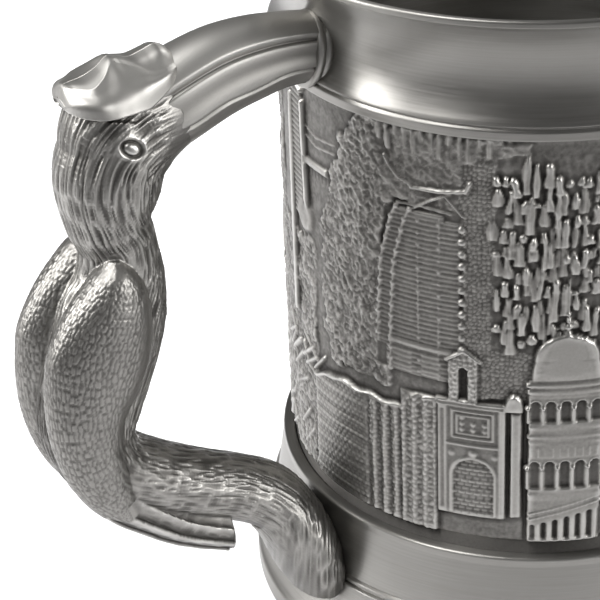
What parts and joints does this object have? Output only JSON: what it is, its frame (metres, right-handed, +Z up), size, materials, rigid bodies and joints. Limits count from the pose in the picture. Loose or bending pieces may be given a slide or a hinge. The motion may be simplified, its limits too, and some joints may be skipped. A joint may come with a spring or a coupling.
{
  "type": "tankard",
  "caption": "Straight-sided pewter tankard with a flared rim collar, a carved relief drum, a moulded foot and a cast bird handle.",
  "frame": {"origin": "centre of the foot's resting face, on the drum's axis", "axes": "+Z up the drum to the rim; the handle stands out along -X; +Y completes the right hand"},
  "size_m": [0.1447, 0.1, 0.125],
  "materials": {
    "turned_pewter": "spun and brushed round the drum, satin",
    "cast_pewter": "cast, blackened in the recesses and rubbed back on the high places",
    "polished_pewter": "cast and hand polished to a soft satin",
    "solder": "soft solder, wiped"
  },
  "bodies": {
    "root": {"rim_collar": "turned_pewter", "relief_sleeve": "cast_pewter", "drum_liner": "turned_pewter", "drum_floor": "turned_pewter", "base_band": "turned_pewter", "foot_ring": "turned_pewter", "collar_solder": "solder", "band_solder": "solder", "foot_solder": "solder", "floor_solder": "solder", "beak_ferrule": "polished_pewter", "beak": "polished_pewter", "casque": "polished_pewter", "bird_casting": "cast_pewter", "arm_solder": "solder"}
  },
  "joints": []
}
